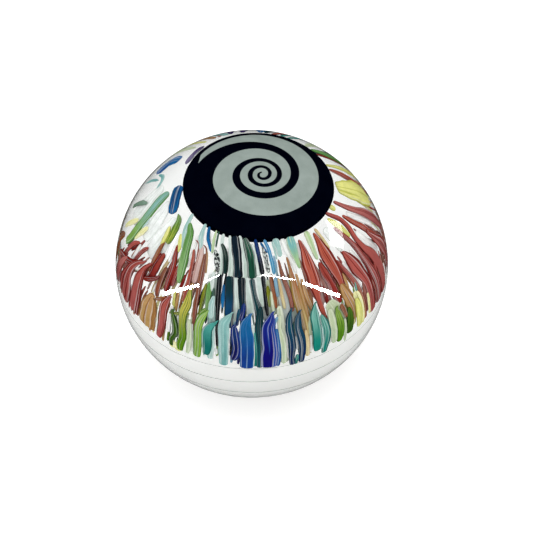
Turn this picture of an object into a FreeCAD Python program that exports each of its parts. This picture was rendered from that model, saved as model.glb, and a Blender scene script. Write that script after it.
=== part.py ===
import FreeCAD, Part
import math
import os

# Art-glass crown paperweight, millimetres, +Z up, origin at the centre of the ground base.
# The front of the weight faces -Y. A direction round the weight is an azimuth in degrees,
# 0 at the front and growing towards +X. A height on the dome is a polar angle in degrees,
# 0 at the crown and 90 at the widest level.

# Outer dome: an ellipsoid of clear glass ground flat underneath
DOME_RADIUS = 38.0
DOME_HALF_HEIGHT = 36.6
DOME_CENTRE_Z = 27.5
BASE_BEVEL = 0.7
BASE_HOLLOW_RADIUS = 17.0
BASE_HOLLOW_DEPTH = 0.6

# Inner gather of clear glass, the body that the canes are laid on
CORE_DEPTH = 3.25
CORE_BOTTOM_Z = 6.0
SEAM_AZIMUTH = -148.0

# Canes: flat rods of coloured glass in two layers, given as depths below the dome's surface
UPPER_LAYER_DEPTH = 3.75
LOWER_LAYER_DEPTH = 2.70
CANE_THICKNESS = 0.80
TIP_THICKNESS = 0.50
CANE_CORNER = 0.6

# Dark disc under the crown, slightly domed, with the pale spiral let into its top
DISC_X = 2.1
DISC_Y = 1.15
DISC_RADIUS = 19.1
DISC_CROWN_Z = 58.5
DISC_CURVE_RADIUS = 65.0
DISC_THICKNESS = 1.8
DISC_GAP = 0.1
SPIRAL_DEPTH = 0.7
SPIRAL_X = 2.7
SPIRAL_Y = 0.8

# Radius of the spiral's two edges at each quarter turn, starting behind the centre and
# going to the left, the front and the right. The dark line ends in the middle as a hook.
SPIRAL_INNER_EDGE = [1.05, 1.20, 1.75, 2.40, 3.35, 3.55, 4.00, 5.00, 6.05, 7.35, 7.60, 9.30, 13.0, 18.2]
SPIRAL_OUTER_EDGE = [0.65, 0.50, 0.85, 1.40, 2.40, 2.30, 2.90, 3.70, 4.75, 5.45, 5.70, 7.10, 9.90, 12.2,
                     12.6, 14.5, 17.6, 18.6]
SPIRAL_INNER_TURNS = 3.19
SPIRAL_OUTER_TURNS = 4.16
SPIRAL_STEPS_PER_TURN = 12

# Each cane is a colour and its centre line from top to bottom: polar angle, azimuth and
# width, all in degrees. The upper canes run down from the disc.
UPPER_CANES = [
    ("black_white", [(39, -24.7, 1.6), (41.5, -22.2, 3), (45, -20.3, 3), (48, -19.1, 2)]),
    ("dark_green", [(35.5, -21.7, 1.4), (38, -18.3, 2.2), (42, -15.9, 2.4), (48, -14.6, 2)]),
    ("navy_green", [(31.2, -12.7, 4), (37, -10, 3.8), (41, -8.5, 3.4), (45, -7.6, 3.2), (48.3, -7.1, 3.2)]),
    ("bottle_green", [(31.6, -4.9, 2.4), (37, -1.4, 3.6), (41, 0, 3.4), (45, 0.5, 3.2), (48.3, 0.8, 3)]),
    ("ink_navy", [(32.1, 3.6, 2), (37, 4.8, 2.2), (42, 6, 2.1), (47.5, 6.8, 2)]),
    ("mid_blue", [(32.6, 10.5, 2), (37, 12.5, 2.2), (42, 13.2, 2), (48, 13.4, 1.6)]),
    ("pale_aqua", [(33, 18.9, 4.6), (37, 19.4, 3.6), (41.2, 19.3, 2.6)]),
    ("aqua_leaf", [(34.2, 30.3, 6), (38, 29.5, 5.2), (43, 28.9, 3.4), (48.5, 28.7, 1.2)]),
    ("near_black", [(48.8, -17.5, 2.2), (54, -16.7, 2.2), (61, -15.9, 1.9), (68, -15.4, 1.6),
     (76, -14.7, 1.5), (83, -14.3, 1.2)]),
    ("dark_teal", [(48.8, -11.7, 3.2), (54, -11, 3.4), (60, -10.3, 3.6), (66, -9.9, 3), (72, -9, 1.4)]),
    ("black_teal", [(48.8, -5.1, 3.2), (54, -4.6, 2.8), (60, -4.1, 2.4), (66, -3.8, 1.8), (72, -3.9, 1.2)]),
    ("sea_teal", [(49, 0.5, 2.6), (54, 1.4, 2), (58, 2.3, 2.2), (62, 3.4, 2.8), (68, 3.8, 2.8),
     (76, 4.1, 2.6), (84, 4.3, 2.4), (91, 4.1, 2)]),
    ("red_brown", [(42, 17.6, 1), (48, 17.8, 1.8), (54, 18.9, 2.1), (60, 19.7, 1.9), (66, 19.7, 1.2)]),
    ("brown_tan", [(42, 23.1, 1), (47, 23.1, 1.6), (52, 22.9, 2.8), (60, 22.9, 3.6), (66, 23.5, 3.4),
     (74, 24.3, 3), (84, 24.9, 2.2), (91, 25, 1.6)]),
    ("ruby_leaf", [(37, 35.7, 1.4), (42, 35.4, 3.4), (48, 34.5, 5.8), (53, 34.3, 5.2), (58, 33.9, 4.6),
     (64, 33.5, 2.4), (70, 33.9, 2), (76, 34.9, 1.4)]),
    ("pale_green", [(35.5, 43.9, 3.6), (40, 42.7, 3.4), (45, 41.3, 2.4), (48.6, 40.9, 1.4)]),
    ("ruby_short", [(50, 40.9, 1.8), (55, 41.3, 3.8), (60, 42.1, 3.6), (66, 42.7, 3.8), (72, 43.9, 2.4)]),
    ("ruby_broad", [(38, 48.3, 1.6), (42, 47.9, 4.2), (47, 47.3, 6.8), (52, 47.5, 7.2), (57, 47.9, 6.2),
     (63, 48, 4.2), (69, 47.5, 1.8)]),
    ("ruby_long", [(53, 57.5, 1.4), (58, 58.9, 5), (63, 60.1, 6.6), (68, 61.5, 5.8), (74, 63.1, 4.6),
     (82, 63.5, 4.4), (92, 63.5, 4)]),
    ("ruby_twin_left", [(43, 63.5, 1.6), (50, 65.3, 2.8), (55.6, 66.7, 3), (62.4, 67.3, 3.2),
     (69, 68.3, 3.8), (74, 69.1, 5), (80, 69.9, 5.4), (88, 70.1, 5), (92, 70.1, 4.2)]),
    ("ruby_twin_right", [(36.3, 67.9, 2), (39, 69.5, 2.6), (43.3, 72.1, 3), (47, 72.5, 3), (50, 72.1, 3),
     (55.2, 70.7, 2.6), (61.6, 71.7, 3.2), (66, 73.7, 4.4), (70.3, 75.1, 5.2), (78, 76.5, 5.4),
     (86, 76.7, 5.2), (92, 76.5, 4.4)]),
    ("russet", [(44, 75.9, 1.6), (50, 77.8, 2.8), (57, 81.1, 3), (62.1, 82.9, 3), (68.5, 86.5, 2.2)]),
    ("rose_side", [(38, 81.5, 2), (44, 83.7, 3), (50, 86.9, 3.6), (57, 91.1, 4.6), (65, 94.6, 5.6),
     (73.6, 97.1, 4)]),
    ("yellow_side", [(39.5, 96.5, 5), (46, 99.5, 8), (52, 102.5, 9), (58, 105, 8), (64, 107, 5)]),
    ("brown_rose", [(42, -29.9, 1.2), (47, -28.9, 1.8), (54, -27.7, 1.9), (60, -26.9, 2),
     (70, -26.2, 1.8), (78, -25.5, 1.2)]),
    ("brown_red", [(42.5, -38.1, 1.2), (46, -35.9, 1.9), (52, -34.2, 2), (58, -33.2, 2), (66, -32.7, 1.4)]),
    ("leaf_green", [(34.2, -52.7, 1.6), (36, -49.7, 3.4), (38, -46.7, 4.6), (44, -43.2, 5),
     (50, -40.7, 4.6), (55, -39.2, 3.4), (59, -38.3, 1.8)]),
    ("moss_green", [(36, -66.2, 1.6), (37, -61.7, 3.4), (40, -59.1, 4.2), (44, -57.3, 4.2),
     (48, -56.3, 2.8)]),
    ("aqua_lime", [(37.5, -89.7, 4), (42, -87.7, 5.6), (47, -84.7, 5.6), (52, -82.7, 5.2),
     (58, -81.7, 4.6), (64, -81.7, 4), (69, -83.7, 2.4)]),
    ("blue_edge", [(32, -92.2, 5), (33.6, -85, 6), (35.8, -76.6, 5.7), (38.3, -69.7, 4)]),
    ("ruby_left_wide", [(52, -53.9, 2.6), (58, -54.2, 3.4), (64, -54.5, 3.2), (68, -55.7, 2)]),
    ("ruby_left_hook", [(45, -49.7, 1), (49, -47.3, 2.4), (54, -45.1, 2.8), (60, -44.3, 2.8),
     (66, -43.9, 2)]),
    ("purple_rear", [(34.6, -141.5, 3), (34.4, -136, 4), (33.8, -129, 4.2), (33.2, -122, 4),
     (33, -117, 2.6)]),
    ("cobalt_rear", [(39.7, -123.5, 3.2), (43, -124.2, 4.5), (46, -123.2, 4.5), (48.5, -119.8, 4.4),
     (50.6, -115, 3)]),
    ("aqua_rear", [(38, -163, 3), (50, -158, 6), (64, -156, 7), (78, -158, 6), (91, -157, 4)]),
    ("ruby_rear", [(38, 165, 3), (50, 161, 5), (64, 160, 7), (78, 162, 6), (91, 161, 4)]),
    ("green_rear", [(39, 135, 3), (50, 131, 6), (64, 129, 6), (78, 131, 6), (91, 130, 4)]),
]

# The lower canes are short S-shaped pieces that stand round the widest level.
LOWER_CANES = [
    ("ruby_fan", [(62, -61.7, 1.4), (65, -65.3, 2.6), (70, -68.3, 4.6), (75, -69.3, 8), (80, -69.5, 11),
     (86, -69.7, 11), (88.5, -70.7, 6)]),
    ("ruby_wide", [(60, -57.2, 1.4), (64, -59.7, 3), (70, -60.3, 6), (76, -59.7, 7.4), (82, -59.5, 7.6),
     (88.5, -60.1, 7)]),
    ("rose_wide", [(71, -75.1, 1.6), (76, -77.7, 3.6), (82, -79.1, 5), (88, -79.7, 4.4)]),
    ("tan_wide", [(72, -49.1, 4), (77, -49.5, 8), (83, -49.7, 9), (89, -49.7, 8)]),
    ("ruby_strip", [(67, -40.1, 1.8), (72, -41.5, 4), (78, -41.1, 3.8), (84, -41.3, 3), (90, -42.5, 2.4)]),
    ("pine_green", [(72, -36.9, 1.6), (76, -35, 2.4), (80, -33.9, 2.6), (83, -34.1, 2.4),
     (86, -35.5, 2.2), (90.5, -35.5, 1.8)]),
    ("olive_green", [(59, -30.5, 1.2), (65, -30.3, 3.6), (70, -31.3, 3.4), (76, -30.9, 3.2),
     (82, -30.1, 3.2), (87, -31.1, 2.8), (91, -31.1, 2.2)]),
    ("lime", [(66, -20.3, 1.2), (69, -22.1, 3), (74, -23.3, 3), (80, -22.9, 3.2), (86, -22.9, 3),
     (91, -23.3, 2.4)]),
    ("teal", [(69.8, -15.5, 0.9), (72, -17.7, 3), (75, -19, 4), (80, -18.9, 4), (85, -18.8, 3.4),
     (88, -19.5, 2.2)]),
    ("aqua", [(65, -9.1, 0.9), (67.5, -10.7, 3), (70, -11.9, 4), (76, -11.7, 4), (82, -11.6, 3.8),
     (88, -11.5, 3.4), (92.5, -11.6, 2.8)]),
    ("navy", [(70.8, -7.3, 1.8), (74, -6.9, 2.8), (78, -6.3, 3), (82, -6, 2.8), (85.5, -6.5, 2.8),
     (88.5, -7.7, 2.2)]),
    ("cobalt", [(65.2, -0.5, 1.4), (68, -1.8, 3.8), (71, -2.3, 4.6), (76, -1.8, 5), (82, -1.6, 5),
     (88, -1.7, 5.2), (93.3, -1.9, 4.6)]),
    ("ultramarine", [(65, 9.7, 1.2), (68, 8.9, 3.6), (71, 7.7, 4.8), (76, 7.8, 5.6), (82, 8.1, 6),
     (88, 7.7, 6), (93.3, 7.6, 5.4)]),
    ("navy_teal_left", [(65, 18.5, 0.9), (68, 17.4, 2.4), (73, 16.9, 2.7), (79, 17.5, 2.7),
     (84, 17.6, 2.6), (89, 17.2, 2.2), (94, 17.6, 2)]),
    ("navy_teal_right", [(67, 22.3, 1), (69.5, 21.3, 2.6), (74, 20.9, 3), (80, 21.8, 2.9), (85, 22, 2.8),
     (90, 21.6, 2.6), (93.5, 21.4, 2.4)]),
    ("teal_green", [(66, 30.3, 1), (70, 29.3, 3.4), (75, 29.2, 3.9), (80, 29.3, 3.7), (85, 29.1, 3.5),
     (90, 28.6, 2.6)]),
    ("grass_green", [(73, 40.3, 1.2), (76, 40.6, 2.8), (82, 41.2, 3.2), (87, 40.8, 3), (91, 39.6, 2.4)]),
    ("rose_right", [(60, 80, 2), (66, 82.5, 4), (72, 85.5, 6), (78, 87, 6.5), (86, 85.5, 5)]),
    ("blue_rear", [(66, -176, 2), (72, 180, 5), (80, -179, 7), (88, 180, 6)]),
]


def layer_point(polar, azimuth, depth):
    """A point at the given angles, the given depth below the dome."""
    p = math.radians(polar)
    a = math.radians(azimuth)
    across = (DOME_RADIUS - depth) * math.sin(p)
    height = DOME_CENTRE_Z + (DOME_HALF_HEIGHT - depth) * math.cos(p)
    return FreeCAD.Vector(across * math.sin(a), -across * math.cos(a), height)


def outward(polar, azimuth):
    """Unit vector pointing out of the dome at the given angles."""
    p = math.radians(polar)
    a = math.radians(azimuth)
    across = math.sin(p) / DOME_RADIUS
    v = FreeCAD.Vector(across * math.sin(a), -across * math.cos(a), math.cos(p) / DOME_HALF_HEIGHT)
    return v.normalize()


def rounded(angle):
    """Cosine-like pair that squares off an ellipse's corners."""
    c = math.cos(angle)
    s = math.sin(angle)
    return (math.copysign(abs(c) ** CANE_CORNER, c), math.copysign(abs(s) ** CANE_CORNER, s))


def cane_section(centre, along, out, width, thickness):
    """Flat rounded outline square to the cane, bent to the dome's curve."""
    side = along.cross(out).normalize()
    up = side.cross(along).normalize()
    points = []
    for i in range(16):
        c, s = rounded(2.0 * math.pi * i / 16)
        u = c * width / 2.0
        v = s * thickness / 2.0 - u * u / (2.0 * DOME_RADIUS)
        points.append(centre + side * u + up * v)
    curve = Part.BSplineCurve()
    curve.interpolate(points, PeriodicFlag=True)
    return Part.Wire(curve.toShape())


def cane(knots, depth):
    """One cane: a loft through its outlines from top to bottom."""
    centres = [layer_point(polar, azimuth, depth) for polar, azimuth, width in knots]
    last = len(knots) - 1
    sections = []
    for i, (polar, azimuth, width) in enumerate(knots):
        along = centres[min(i + 1, last)] - centres[max(i - 1, 0)]
        span = (DOME_RADIUS - depth) * math.sin(math.radians(polar)) * math.radians(width)
        thickness = TIP_THICKNESS if i in (0, last) else CANE_THICKNESS
        sections.append(cane_section(centres[i], along.normalize(), outward(polar, azimuth), span, thickness))
    return Part.makeLoft(sections, True)


def turned(edges):
    """Solid of revolution round the vertical axis, its seam set where no cane lies."""
    face = Part.Face(Part.Wire(edges))
    solid = face.revolve(FreeCAD.Vector(0, 0, 0), FreeCAD.Vector(0, 0, 1), 360)
    solid.rotate(FreeCAD.Vector(0, 0, 0), FreeCAD.Vector(0, 0, 1), SEAM_AZIMUTH - 90.0)
    return solid


def ellipse_arc(radius, half_height, start_polar, end_polar):
    """Arc in the XZ plane between two polar angles, centred on the dome's centre."""
    centre = FreeCAD.Vector(0, 0, DOME_CENTRE_Z)
    points = []
    for i in range(25):
        p = math.radians(start_polar + (end_polar - start_polar) * i / 24.0)
        points.append(centre + FreeCAD.Vector(radius * math.sin(p), 0, half_height * math.cos(p)))
    curve = Part.BSplineCurve()
    curve.interpolate(points)
    return curve.toShape()


def line(x0, z0, x1, z1):
    """Straight edge in the XZ plane."""
    return Part.makeLine(FreeCAD.Vector(x0, 0, z0), FreeCAD.Vector(x1, 0, z1))


def dome():
    """The whole outside: ellipsoid, bevelled ground base and its shallow polished hollow."""
    base_polar = math.degrees(math.acos((BASE_BEVEL - DOME_CENTRE_Z) / DOME_HALF_HEIGHT))
    edge = DOME_RADIUS * math.sin(math.radians(base_polar))
    top = DOME_CENTRE_Z + DOME_HALF_HEIGHT
    hollow_mid = Part.Arc(FreeCAD.Vector(0, 0, BASE_HOLLOW_DEPTH),
                          FreeCAD.Vector(BASE_HOLLOW_RADIUS / 2.0, 0, BASE_HOLLOW_DEPTH * 0.75),
                          FreeCAD.Vector(BASE_HOLLOW_RADIUS, 0, 0)).toShape()
    foot = edge - BASE_BEVEL
    return turned([
        hollow_mid,
        line(BASE_HOLLOW_RADIUS, 0, foot, 0),
        line(foot, 0, edge, BASE_BEVEL),
        ellipse_arc(DOME_RADIUS, DOME_HALF_HEIGHT, base_polar, 0),
        line(0, top, 0, BASE_HOLLOW_DEPTH),
    ])


def core():
    """The inner gather: the dome's shape above, a rounder bottom below."""
    radius = DOME_RADIUS - CORE_DEPTH
    upper = DOME_HALF_HEIGHT - CORE_DEPTH
    lower = DOME_CENTRE_Z - CORE_BOTTOM_Z
    return turned([
        ellipse_arc(radius, upper, 0, 90),
        ellipse_arc(radius, lower, 90, 180),
        line(0, CORE_BOTTOM_Z, 0, DOME_CENTRE_Z + upper),
    ])


def cap(radius, top_z, bottom_z):
    """Round slab whose top and bottom share the disc's gentle dome."""
    drop = DISC_CURVE_RADIUS - math.sqrt(DISC_CURVE_RADIUS ** 2 - radius ** 2)
    half = radius / 2.0
    half_drop = DISC_CURVE_RADIUS - math.sqrt(DISC_CURVE_RADIUS ** 2 - half ** 2)

    def arc(z):
        return Part.Arc(FreeCAD.Vector(0, 0, z), FreeCAD.Vector(half, 0, z - half_drop),
                        FreeCAD.Vector(radius, 0, z - drop)).toShape()

    solid = turned([arc(top_z), line(radius, top_z - drop, radius, bottom_z - drop), arc(bottom_z),
                    line(0, bottom_z, 0, top_z)])
    solid.translate(FreeCAD.Vector(DISC_X, DISC_Y, 0))
    return solid


def radius_at(radii, turns):
    """Smooth radius between the quarter-turn values."""
    place = min(turns * 4.0, len(radii) - 1.0)
    i = min(int(place), len(radii) - 2)
    f = place - i
    before = radii[max(i - 1, 0)]
    after = radii[min(i + 2, len(radii) - 1)]
    a = radii[i]
    b = radii[i + 1]
    slope_a = (b - before) / 2.0
    slope_b = (after - a) / 2.0
    return (a * (1 + 2 * f) * (1 - f) ** 2 + slope_a * f * (1 - f) ** 2
            + b * f * f * (3 - 2 * f) - slope_b * f * f * (1 - f))


def spiral_edge(radii, turns):
    """Points along one edge of the spiral, from the middle outwards."""
    count = int(round(turns * SPIRAL_STEPS_PER_TURN))
    points = []
    for i in range(count + 1):
        t = turns * i / count
        angle = math.pi / 2.0 + 2.0 * math.pi * t
        r = radius_at(radii, t)
        points.append(FreeCAD.Vector(SPIRAL_X + r * math.cos(angle), SPIRAL_Y + r * math.sin(angle), 0))
    return points


def spiral_inlay():
    """The pale spiral: its outline pushed up through the top skin of the disc."""
    inner = spiral_edge(SPIRAL_INNER_EDGE, SPIRAL_INNER_TURNS)
    outer = spiral_edge(SPIRAL_OUTER_EDGE, SPIRAL_OUTER_TURNS)
    inner_curve = Part.BSplineCurve()
    inner_curve.interpolate(inner)
    outer_curve = Part.BSplineCurve()
    outer_curve.interpolate(outer)
    outline = Part.Wire([
        inner_curve.toShape(),
        Part.makeLine(inner[-1], outer[-1]),
        outer_curve.toShape(),
        Part.makeLine(outer[0], inner[0]),
    ])
    column = Part.Face(outline).extrude(FreeCAD.Vector(0, 0, DISC_CROWN_Z + 5.0))
    return column.common(cap(DISC_RADIUS + 2.0, DISC_CROWN_Z, DISC_CROWN_Z - SPIRAL_DEPTH))


def clear_of_disc(shape):
    """A cane stopped a hair short of the disc."""
    underside_z = DISC_CROWN_Z - DISC_THICKNESS
    return shape.cut(cap(DISC_RADIUS + DISC_GAP, DISC_CROWN_Z + DISC_GAP, underside_z - DISC_GAP))


def largest(shape):
    """The biggest solid in a shape."""
    return max(shape.Solids, key=lambda solid: solid.Volume)


inlay = largest(spiral_inlay())
whole_disc = cap(DISC_RADIUS, DISC_CROWN_Z, DISC_CROWN_Z - DISC_THICKNESS)
disc = largest(whole_disc.cut(inlay))

pieces = {"spiral_disc": disc, "spiral_inlay": inlay}
for number, (colour, knots) in enumerate(UPPER_CANES, 1):
    upper = clear_of_disc(cane(knots, UPPER_LAYER_DEPTH))
    pieces["upper_cane_%02d_%s" % (number, colour)] = largest(upper)
for number, (colour, knots) in enumerate(LOWER_CANES, 1):
    pieces["lower_cane_%02d_%s" % (number, colour)] = largest(cane(knots, LOWER_LAYER_DEPTH))

inside = [whole_disc] + [shape for name, shape in pieces.items() if "cane" in name]
core_shape = core()
casing = dome().cut(core_shape)
pieces["clear_core"] = largest(core_shape.cut(inside))
pieces["clear_casing"] = largest(casing.cut(inside))

os.makedirs("parts", exist_ok=True)
for name, shape in pieces.items():
    shape.exportStep("parts/%s.step" % name)
    print("%-34s volume %9.2f valid %s" % (name, shape.Volume, shape.isValid()))
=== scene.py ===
import itertools
import math
import random

import bpy
from mathutils import Matrix, Vector


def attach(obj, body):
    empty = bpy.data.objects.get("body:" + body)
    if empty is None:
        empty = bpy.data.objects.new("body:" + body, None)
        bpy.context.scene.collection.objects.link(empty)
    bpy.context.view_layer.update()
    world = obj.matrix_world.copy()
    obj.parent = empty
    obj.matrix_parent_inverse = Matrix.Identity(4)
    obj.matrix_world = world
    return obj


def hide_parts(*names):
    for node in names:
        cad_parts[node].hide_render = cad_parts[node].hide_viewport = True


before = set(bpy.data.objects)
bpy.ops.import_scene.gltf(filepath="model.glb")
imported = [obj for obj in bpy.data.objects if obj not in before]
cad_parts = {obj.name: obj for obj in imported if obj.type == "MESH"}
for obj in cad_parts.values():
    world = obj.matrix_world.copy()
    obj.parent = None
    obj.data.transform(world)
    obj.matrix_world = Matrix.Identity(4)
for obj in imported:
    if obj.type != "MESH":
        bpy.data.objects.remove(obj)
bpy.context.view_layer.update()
MM = 0.001

# ---------------------------------------------------------------- sizes, millimetres
DOME_RADIUS = 38.0
DOME_HALF_HEIGHT = 36.6
DOME_CENTRE_Z = 27.5
BASE_BEVEL = 0.7
BASE_HOLLOW_RADIUS = 17.0
BASE_HOLLOW_DEPTH = 0.6
CANE_THICKNESS = 0.8
THIN_THICKNESS = 0.5
# how far under the dome's surface the middle of each layer lies
UPPER_DEPTH = 3.75
LOWER_DEPTH = 2.70
BACKING_UPPER_DEPTH = 4.45
BACKING_LOWER_DEPTH = 3.35
STRAND_EXTRA_DEPTH = 0.3
# depth of the painted refraction arcs
PAINTED_ARC_DEPTH = 3.25
GLASS_MIDDLE = Vector((0, 0, DOME_CENTRE_Z)) * MM

scene = bpy.context.scene
scene.view_settings.view_transform = "Standard"


# ---------------------------------------------------------------- node helpers
def new_material(name):
    material = bpy.data.materials.new(name)
    material.use_nodes = True
    tree = material.node_tree
    tree.nodes.clear()
    output = tree.nodes.new("ShaderNodeOutputMaterial")
    shader = tree.nodes.new("ShaderNodeBsdfPrincipled")
    tree.links.new(shader.outputs["BSDF"], output.inputs["Surface"])
    return material, tree, shader


def add(tree, kind, **settings):
    node = tree.nodes.new(kind)
    for key, value in settings.items():
        setattr(node, key, value)
    return node


def math_node(tree, operation, a, b=None):
    node = add(tree, "ShaderNodeMath", operation=operation)
    for socket, value in zip(node.inputs, (a, b)):
        if value is None:
            continue
        if isinstance(value, (int, float)):
            socket.default_value = value
        else:
            tree.links.new(value, socket)
    return node.outputs[0]


def object_noise(tree, scale, detail):
    coords = add(tree, "ShaderNodeTexCoord")
    noise = add(tree, "ShaderNodeTexNoise")
    noise.inputs["Scale"].default_value = scale
    noise.inputs["Detail"].default_value = detail
    tree.links.new(coords.outputs["Object"], noise.inputs["Vector"])
    return noise.outputs["Fac"]


def glow(shader, strength):
    shader.inputs["Emission Color"].default_value = (1, 1, 1, 1)
    shader.inputs["Emission Strength"].default_value = strength


def rgb(r, g, b):
    """A screen colour, 0 to 255, as the linear value that a shader takes."""
    def one(c):
        c /= 255.0
        return c / 12.92 if c <= 0.04045 else ((c + 0.055) / 1.055) ** 2.4
    return (one(r), one(g), one(b), 1.0)


# ---------------------------------------------------------------- materials
def clear_glass():
    """Polished clear glass with a very faint ripple."""
    material, tree, shader = new_material("polished_glass")
    shader.inputs["Base Color"].default_value = (0.98, 0.995, 0.985, 1)
    shader.inputs["Transmission Weight"].default_value = 1.0
    shader.inputs["IOR"].default_value = 1.5
    shader.inputs["Specular Tint"].default_value = (0.8, 0.8, 0.8, 1)
    shader.inputs["Roughness"].default_value = 0.0
    bump = add(tree, "ShaderNodeBump")
    bump.inputs["Strength"].default_value = 0.006
    bump.inputs["Distance"].default_value = 0.0005
    tree.links.new(object_noise(tree, 60.0, 2.0), bump.inputs["Height"])
    tree.links.new(bump.outputs["Normal"], shader.inputs["Normal"])
    return material


def mottled_glass(name, scale, detail, dark, light, roughness, specular, painted_glow=0.0):
    """Opaque glass with a fine cloudy mottle between two colours; painted_glow is emission that paints light
    onto it.
    """
    material, tree, shader = new_material(name)
    ramp = add(tree, "ShaderNodeValToRGB")
    ramp.color_ramp.elements[0].color = dark
    ramp.color_ramp.elements[1].color = light
    tree.links.new(object_noise(tree, scale, detail), ramp.inputs["Fac"])
    tree.links.new(ramp.outputs["Color"], shader.inputs["Base Color"])
    shader.inputs["Roughness"].default_value = roughness
    shader.inputs["Specular IOR Level"].default_value = specular
    # painted glow: emission that brightens the glass though it is no lamp
    glow(shader, painted_glow)
    return material


def cane_glass(name, top, bottom, line, fleck=None):
    """Coloured cane: runs from one colour at the top to another at the bottom, with lengthwise
    lines and edges of a third colour, a few pale streaks and a fine mottle. fleck is how many
    pale flecks lie along it. along, across and seed are stored on the mesh."""
    pale = tuple(0.45 * a + 0.4 for a in top[:3]) + (1.0,)
    material, tree, shader = new_material(name)
    along = add(tree, "ShaderNodeAttribute", attribute_name="along").outputs["Fac"]
    across = add(tree, "ShaderNodeAttribute", attribute_name="across").outputs["Fac"]
    seed = add(tree, "ShaderNodeAttribute", attribute_name="seed").outputs["Fac"]

    def multiply(value, factor):
        return math_node(tree, "MULTIPLY", value, factor)

    def grain(across_scale, along_scale, detail):
        """Noise in the cane's own directions, so many waves across it and along it."""
        place = add(tree, "ShaderNodeCombineXYZ")
        tree.links.new(multiply(across, across_scale), place.inputs["X"])
        tree.links.new(multiply(along, along_scale), place.inputs["Y"])
        tree.links.new(multiply(seed, 37.0), place.inputs["Z"])
        noise = add(tree, "ShaderNodeTexNoise")
        noise.inputs["Scale"].default_value = 1.0
        noise.inputs["Detail"].default_value = detail
        noise.inputs["Roughness"].default_value = 0.6
        tree.links.new(place.outputs["Vector"], noise.inputs["Vector"])
        return noise.outputs["Fac"]

    def between(value, low, high):
        """0 below low, 1 above high, and a smooth step between them."""
        node = add(tree, "ShaderNodeMapRange", interpolation_type="SMOOTHSTEP")
        node.inputs["From Min"].default_value = low
        node.inputs["From Max"].default_value = high
        tree.links.new(value, node.inputs["Value"])
        return node.outputs["Result"]

    def blend(factor, first, second):
        node = add(tree, "ShaderNodeMix", data_type="RGBA")
        for socket, value in ((node.inputs[6], first), (node.inputs[7], second)):
            if isinstance(value, tuple):
                socket.default_value = value
            else:
                tree.links.new(value, socket)
        tree.links.new(factor, node.inputs[0])
        return node.outputs[2]

    tone = blend(between(along, 0.2, 0.8), top, bottom)
    lines = between(grain(3.4, 0.6, detail=0.0), 0.53, 0.6)
    edges = between(math_node(tree, "ABSOLUTE", across), 0.68, 0.94)
    marks = math_node(tree, "MAXIMUM", multiply(lines, 0.95), multiply(edges, 0.95))
    tone = blend(marks, tone, line)
    streaks = between(grain(5.0, 0.7, detail=0.0), 0.62, 0.7)
    tone = blend(multiply(streaks, 0.6), tone, pale)
    if fleck:
        spots = between(grain(2.2, fleck, detail=1.0), 0.5, 0.56)
        tone = blend(spots, tone, rgb(205, 212, 208))
    coarse = grain(2.0, 7.0, detail=6.0)
    fine = multiply(grain(11.0, 60.0, detail=3.0), 0.7)
    mottle = math_node(tree, "ADD", coarse, fine)
    gain = math_node(tree, "ADD", 0.46, multiply(mottle, 0.58))
    scaled = add(tree, "ShaderNodeVectorMath", operation="SCALE")
    tree.links.new(tone, scaled.inputs[0])
    tree.links.new(gain, scaled.inputs["Scale"])
    tree.links.new(scaled.outputs["Vector"], shader.inputs["Base Color"])
    shader.inputs["Roughness"].default_value = 0.6
    shader.inputs["Specular IOR Level"].default_value = 0.05
    return material


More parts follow.
